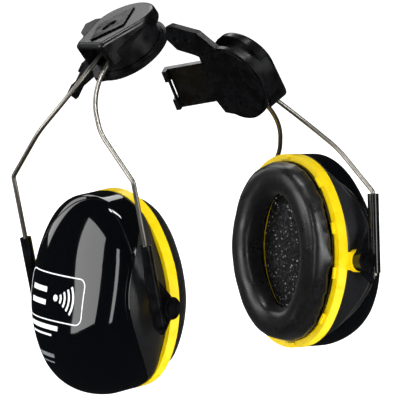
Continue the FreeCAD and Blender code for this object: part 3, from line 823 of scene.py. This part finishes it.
    def build(self, finishes: Finishes) -> bpy.types.Object:
        """Make the shell.

        Args:
            finishes: The materials.

        Returns:
            The shell, riding on its cup.
        """
        dome = self.surface()
        name = self.frame.name("polished_shell")
        mesh = bpy.data.meshes.new(name)
        dome.to_mesh(mesh)
        dome.free()
        indices = [face.material_index for face in mesh.polygons]
        piece = new_piece(name, mesh, finishes.gloss)
        mesh.materials.append(finishes.grained)
        for face, index in zip(mesh.polygons, indices):
            face.material_index = index
            face.use_smooth = True
        smooth = piece.modifiers.new("Smooth", "SUBSURF")
        smooth.levels = smooth.render_levels = 1
        wall = piece.modifiers.new("Wall", "SOLIDIFY")
        wall.thickness = self.wall * MM
        wall.offset = -1.0  # the wall grows inwards
        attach(piece, self.frame.name("cup"))
        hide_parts(self.frame.name("cup_shell"))
        return piece


@dataclass
class EarCushion:
    """The sealing cushion: vinyl drawn over foam, blown up a little from its plate.

    Sizes are in millimetres.
    """

    frame: CupFrame
    voxel: float = 2.4
    shrink: float = 1.0
    held_height: float = 1.8
    pressure: float = 4.0
    swell: float = 2.8
    frames: int = 20
    mass: float = 0.3
    passes: int = 18
    slack: float = 0.22
    slack_length: float = 13.0

    def build(self, finishes: Finishes) -> bpy.types.Object:
        """Make the cushion.

        Args:
            finishes: The materials.

        Returns:
            The cushion, riding on its cup.
        """
        node = self.frame.name("ear_cushion")
        base = self.frame.box("ear_cushion")[0].z
        mesh = remeshed(welded_copy(node), self.frame.name("cushion_skin"), self.voxel)
        piece = new_piece(self.frame.name("cushion_skin"), mesh, finishes.skin)
        height = [(self.frame.from_part @ vertex.co).z - base for vertex in mesh.vertices]
        for vertex in mesh.vertices:
            if height[vertex.index] > self.held_height * MM:
                vertex.co -= vertex.normal * self.shrink * MM
        self.inflate(piece, height)
        self.relax(mesh, height)
        smooth = piece.modifiers.new("Skin", "SUBSURF")
        smooth.levels = smooth.render_levels = 1
        for face in mesh.polygons:
            face.use_smooth = True
        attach(piece, self.frame.name("cup"))
        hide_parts(node)
        return piece

    def inflate(self, piece: bpy.types.Object, height: list[float]) -> None:
        """Blow the skin up from inside, held where it is welded to its plate.

        Args:
            piece: The cushion.
            height: Each vertex's height over the plate, in metres.
        """
        start = [vertex.co.copy() for vertex in piece.data.vertices]
        held = piece.vertex_groups.new(name="held")
        welded = [number for number, high in enumerate(height) if high <= self.held_height * MM]
        held.add(welded, 1.0, "REPLACE")
        cloth = piece.modifiers.new("Cloth", "CLOTH")
        cloth.settings.use_pressure = True
        cloth.settings.uniform_pressure_force = self.pressure
        cloth.settings.effector_weights.gravity = 0.0
        cloth.settings.vertex_group_mass = "held"
        cloth.settings.mass = self.mass
        cloth.point_cache.frame_start = 1
        cloth.point_cache.frame_end = self.frames
        scene = bpy.context.scene
        for number in range(1, self.frames + 1):
            scene.frame_set(number)
        blown = piece.evaluated_get(bpy.context.evaluated_depsgraph_get()).data
        limit = self.swell * MM
        for vertex, first in zip(piece.data.vertices, start):
            moved = blown.vertices[vertex.index].co - first
            vertex.co = first + (moved if moved.length <= limit else moved * (limit / moved.length))
        piece.modifiers.remove(cloth)
        piece.vertex_groups.remove(held)
        scene.frame_set(1)

    def relax(self, mesh: bpy.types.Mesh, height: list[float]) -> None:
        """Smooth the blown skin and give it the slow waves of slack vinyl.

        Args:
            mesh: The cushion's mesh.
            height: Each vertex's first height over the plate, in metres.
        """
        skin = bmesh.new()
        skin.from_mesh(mesh)
        skin.verts.ensure_lookup_table()
        free = [vertex for vertex in skin.verts if height[vertex.index] > self.held_height * MM]
        smoothed(skin, free, self.passes)
        for vertex in free:
            wave = noise.noise(vertex.co / (self.slack_length * MM))
            vertex.co += vertex.normal * wave * self.slack * MM
        skin.to_mesh(mesh)
        skin.free()


@dataclass
class FoamPad:
    """The loose foam pad inside the cup, with torn cells on its faces.

    Sizes are in millimetres.
    """

    frame: CupFrame
    voxel: float = 0.9
    tear: float = 0.32
    tear_size: float = 1.5
    sunk: float = 0.4

    def build(self, finishes: Finishes) -> bpy.types.Object:
        """Make the pad.

        Args:
            finishes: The materials.

        Returns:
            The pad, riding on its cup.
        """
        node = self.frame.name("foam_pad")
        mesh = remeshed(welded_copy(node), self.frame.name("foam"), self.voxel)
        foam = bmesh.new()
        foam.from_mesh(mesh)
        smoothed(foam, foam.verts[:], 1)
        for vertex in foam.verts:
            depth = noise.noise(vertex.co / (self.tear_size * MM)) - self.sunk
            vertex.co += vertex.normal * depth * self.tear * MM
        foam.to_mesh(mesh)
        foam.free()
        piece = new_piece(self.frame.name("foam"), mesh, finishes.foam)
        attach(piece, self.frame.name("cup"))
        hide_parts(node)
        return piece


@dataclass
class ShellPrint:
    """The print on the outer face of a cup: a frame with sound waves in it, and plain bars.

    Sizes are in millimetres. A bar is its middle's place across and up, its width and its height.
    """

    frame: CupFrame
    shell: bpy.types.Object
    across: float = -7.0
    up: float = 8.4
    turn: float = -5.0
    cell: float = 0.8
    stroke: float = 0.6
    frame_width: float = 45.0
    frame_height: float = 23.0
    frame_corner: float = 4.0
    wave_middle: float = 3.0
    wave_radii: tuple = (4.0, 7.0, 10.0, 13.0)
    wave_width: float = 1.3
    wave_sweep: float = 64.0
    dot_radius: float = 0.9
    dot_width: float = 1.7
    bars: tuple = (
        (-11.0, 3.2, 13.0, 2.6),
        (-11.0, -3.2, 13.0, 2.6),
        (-5.5, -15.1, 24.0, 2.4),
        (-7.0, -18.9, 18.0, 1.0),
    )
    faint_bars: tuple = ((-4.5, -29.5, 17.0, 2.0), (-2.5, -33.0, 12.0, 0.7))
    ink: float = 0.06
    weld: float = 0.01
    clear: float = 60.0

    def bar(self, flat: bmesh.types.BMesh, x: float, y: float, width: float, height: float) -> None:
        """Lay a straight bar.

        Args:
            flat: The print, flat.
            x: The bar's middle, to the right.
            y: Its middle, upwards.
            width: Its width in millimetres.
            height: Its height in millimetres.
        """
        columns = max(1, round(width / self.cell))
        rows = max(1, round(height / self.cell))
        laid = bmesh.ops.create_grid(flat, x_segments=columns, y_segments=rows, size=0.5)
        bmesh.ops.scale(flat, verts=laid["verts"], vec=(width, height, 1))
        bmesh.ops.translate(flat, verts=laid["verts"], vec=(x, y, 0))

    def bow(
        self,
        flat: bmesh.types.BMesh,
        middle: Vector,
        radius: float,
        start: float,
        sweep: float,
        width: float,
    ) -> None:
        """Lay a part of a ring.

        Args:
            flat: The print, flat.
            middle: The ring's middle.
            radius: The radius of the line's middle, in millimetres.
            start: Where it starts, in degrees from the right.
            sweep: How far it goes round, in degrees.
            width: Its width in millimetres.
        """
        reach = Matrix.Rotation(math.radians(start), 3, "Z")
        spots = [middle + reach @ Vector((radius + s * width / 2, 0, 0)) for s in (-1, 1)]
        ends = [flat.verts.new(spot) for spot in spots]
        bmesh.ops.spin(
            flat, geom=[*ends, flat.edges.new(ends)], cent=middle, axis=(0, 0, 1),
            angle=math.radians(sweep), steps=max(3, round(math.radians(sweep) * radius / self.cell)),
            use_merge=sweep >= 360,
        )

    def draw(self) -> tuple[bmesh.types.BMesh, bmesh.types.BMesh]:
        """Draw the white and the faint part of the print, flat, in millimetres.

        Returns:
            The white part and the faint part.
        """
        white, faint = bmesh.new(), bmesh.new()
        half_w, half_h, corner = self.frame_width / 2, self.frame_height / 2, self.frame_corner
        for sx, sy, start in ((1, 1, 0), (-1, 1, 90), (-1, -1, 180), (1, -1, 270)):
            middle = Vector((sx * (half_w - corner), sy * (half_h - corner), 0))
            self.bow(white, middle, corner, start, 90, self.stroke)
        for s in (-1, 1):
            self.bar(white, 0, s * half_h, self.frame_width - 2 * corner, self.stroke)
            self.bar(white, s * half_w, 0, self.stroke, self.frame_height - 2 * corner)
        middle = Vector((self.wave_middle, 0, 0))
        for radius in self.wave_radii:
            self.bow(white, middle, radius, -self.wave_sweep / 2, self.wave_sweep, self.wave_width)
        self.bow(white, middle, self.dot_radius, 0, 360, self.dot_width)
        for place in self.bars:
            self.bar(white, *place)
        for place in self.faint_bars:
            self.bar(faint, *place)
        return white, faint

    def build(self, finishes: Finishes) -> list[bpy.types.Object]:
        """Lay the print on the shell.

        Args:
            finishes: The materials.

        Returns:
            The two printed pieces, riding on the cup.
        """
        tree = BVHTree.FromObject(self.shell, bpy.context.evaluated_depsgraph_get())
        outward = -self.frame.to_part.col[2].to_3d()
        up = self.frame.to_part.col[1].to_3d()
        right = up.cross(outward)
        origin = self.frame.to_part.translation
        turn = Matrix.Rotation(math.radians(self.turn), 3, "Z")
        pieces = []
        for flat, stem, material in zip(
            self.draw(), ("print", "faint_print"), (finishes.white_ink, finishes.grey_ink)
        ):
            bmesh.ops.remove_doubles(flat, verts=flat.verts, dist=self.weld)
            bmesh.ops.rotate(flat, verts=flat.verts, matrix=turn)
            for vertex in flat.verts:
                offset = right * (vertex.co.x + self.across) + up * (vertex.co.y + self.up)
                above = origin + (offset + outward * self.clear) * MM
                hit, _, _, _ = tree.ray_cast(above, -outward)
                vertex.co = hit + outward * self.ink * MM
            face_towards(flat, outward)
            bmesh.ops.solidify(flat, geom=flat.faces[:], thickness=self.ink * MM)
            mesh = bpy.data.meshes.new(self.frame.name(stem))
            flat.to_mesh(mesh)
            flat.free()
            piece = new_piece(self.frame.name(stem), mesh, material)
            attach(piece, self.frame.name("cup"))
            pieces.append(piece)
        return pieces


@dataclass
class EarMuff:
    """One unit: its bracket, head, fork, yoke and cup."""

    side: Side

    def build(self, finishes: Finishes) -> None:
        """Dress the unit's CAD parts and build its shell, soft parts and print.

        Args:
            finishes: The materials.
        """
        cup = CupFrame(self.side)
        self.dress(cup, finishes)
        shell = CupShell(cup).build(finishes)
        pieces = [shell, EarCushion(cup).build(finishes), FoamPad(cup).build(finishes)]
        pieces += ShellPrint(cup, shell).build(finishes)
        for piece in pieces:
            LOG.info("%s has %d faces", piece.name, len(piece.data.polygons))

    def dress(self, cup: CupFrame, finishes: Finishes) -> None:
        """Give each CAD part its finish.

        Args:
            cup: The unit's cup, which gives the nodes' names.
            finishes: The materials.
        """
        worn = {
            "bracket": finishes.satin,
            "snap_ring": finishes.spring,
            "drum": finishes.drum,
            "cap": finishes.satin,
            "badge": finishes.sleeve,
            "flip_spring": finishes.spring,
            "wire_fork": finishes.wire,
            "fork_block": finishes.satin,
            "sleeve_front": finishes.sleeve,
            "sleeve_rear": finishes.sleeve,
            "pin_front": finishes.sleeve,
            "pin_rear": finishes.sleeve,
            "ring": finishes.yellow,
            "cushion_plate": finishes.satin,
        }
        for stem, material in worn.items():
            mesh = frame["nodes"][cup.name(stem)].data
            mesh.materials.clear()
            mesh.materials.append(material)


@dataclass(frozen=True)
class Softbox:
    """One soft light: where it hangs, its size in metres and its power in watts."""

    name: str
    azimuth: float
    elevation: float
    distance: float
    width: float
    height: float
    power: float


@dataclass
class Studio:
    """The floor, the lights and the camera.

    Distances are in metres, apart from the view's width and the floor's drop in millimetres.
    """

    azimuth: float = -42.85
    elevation: float = 8.25
    distance: float = 1.8
    aim: tuple = (0.01235, 0.0, -0.06815)
    view_width: float = 208.3
    sensor: float = 36.0
    sight: float = 50.0
    floor_radius: float = 9.0
    floor_sides: int = 96
    floor_drop: float = 45.0
    floor_tint: str = "#f4f4f4"
    floor_roughness: float = 0.9
    floor_glow: float = 0.8
    fill: float = 0.3
    mirrored_fill: float = 0.015
    # Each softbox: its name, azimuth, elevation, distance, width, height and power.
    softboxes: tuple = (
        Softbox("key_box", 8.0, 14.0, 1.6, 0.5, 1.2, 12.0),
        Softbox("panel_box", -107.0, 16.0, 1.6, 1.1, 1.4, 19.0),
        Softbox("strip_box", -53.0, 12.0, 2.4, 0.28, 2.2, 9.0),
        Softbox("top_box", -40.0, 80.0, 1.5, 0.9, 0.16, 9.0),
        Softbox("back_box", 150.0, 42.0, 1.6, 1.0, 0.4, 4.0),
        Softbox("left_box", -170.0, 25.0, 1.6, 0.4, 1.0, 3.0),
    )

    def build(self) -> None:
        """Set up the studio."""
        scene = bpy.context.scene
        scene.view_settings.view_transform = "Standard"
        self.camera(scene)
        self.floor()
        self.world(scene)
        self.lights()

    def camera(self, scene: bpy.types.Scene) -> None:
        """Place the camera.

        Args:
            scene: The scene that it films.
        """
        data = bpy.data.cameras.new("camera")
        data.sensor_width = self.sensor
        data.lens = self.sensor * self.distance / (self.view_width * MM)
        data.clip_end = self.sight
        camera = bpy.data.objects.new("camera", data)
        self.hang(camera, self.azimuth, self.elevation, self.distance)
        scene.camera = camera

    def hang(
        self, thing: bpy.types.Object, azimuth: float, elevation: float, distance: float
    ) -> None:
        """Put a light or the camera in the scene, pointed at the middle of the pair.

        Args:
            thing: The light or the camera.
            azimuth: Where it is round the pair, in degrees from +X.
            elevation: How high it is, in degrees.
            distance: How far away it is, in metres.
        """
        a, e = math.radians(azimuth), math.radians(elevation)
        toward = Vector((math.cos(a) * math.cos(e), math.sin(a) * math.cos(e), math.sin(e)))
        bpy.context.scene.collection.objects.link(thing)
        thing.location = Vector(self.aim) + toward * distance
        thing.rotation_euler = (Vector(self.aim) - thing.location).to_track_quat("-Z", "Y").to_euler()

    def floor(self) -> None:
        """Lay the pale floor below the lowest point that a let-down cup reaches."""
        material = bpy.data.materials.new("pale_floor")
        material.use_nodes = True
        shader = material.node_tree.nodes["Principled BSDF"]
        shader.inputs["Base Color"].default_value = colour(self.floor_tint)
        shader.inputs["Roughness"].default_value = self.floor_roughness
        shader.inputs["Emission Color"].default_value = (1, 1, 1, 1)
        shader.inputs["Emission Strength"].default_value = self.floor_glow
        disc = bmesh.new()
        bmesh.ops.create_circle(
            disc, cap_ends=True, segments=self.floor_sides, radius=self.floor_radius
        )
        level = CAD_BOX[0][2] - self.floor_drop * MM
        bmesh.ops.translate(disc, verts=disc.verts, vec=(0, 0, level))
        mesh = bpy.data.meshes.new("floor")
        disc.to_mesh(mesh)
        disc.free()
        floor = new_piece("floor", mesh, material)
        floor.visible_glossy = False

    def world(self, scene: bpy.types.Scene) -> None:
        """Fill the studio with a dim even light, white where it is seen directly.

        Args:
            scene: The scene that it lights.
        """
        world = bpy.data.worlds.new("studio")
        scene.world = world
        world.use_nodes = True
        tree = world.node_tree
        background = tree.nodes["Background"]
        seen = add_node(tree, "ShaderNodeLightPath", {})
        # Reflections see a nearly black room, so that the gloss shows only the softboxes.
        lit = add_node(
            tree, "ShaderNodeMapRange",
            {"Value": seen.outputs["Is Glossy Ray"], "To Min": self.fill, "To Max": self.mirrored_fill},
        )
        strength = add_node(
            tree, "ShaderNodeMapRange",
            {"Value": seen.outputs["Is Camera Ray"], "To Min": lit.outputs["Result"], "To Max": 1.0},
        )
        background.inputs["Color"].default_value = (1, 1, 1, 1)
        tree.links.new(strength.outputs["Result"], background.inputs["Strength"])

    def lights(self) -> None:
        """Hang the softboxes."""
        for box in self.softboxes:
            data = bpy.data.lights.new(box.name, "AREA")
            data.shape = "RECTANGLE"
            data.size = box.width
            data.size_y = box.height
            data.energy = box.power
            light = bpy.data.objects.new(box.name, data)
            self.hang(light, box.azimuth, box.elevation, box.distance)


def main() -> None:
    """Build the pair of ear muffs and its studio."""
    logging.basicConfig(level=logging.INFO, format="%(name)s: %(message)s")
    Studio().build()
    finishes = Finishes()
    for side in Side:
        EarMuff(side).build(finishes)
        LOG.info("%s unit is built", side.value)


if __name__ == "__main__":
    main()
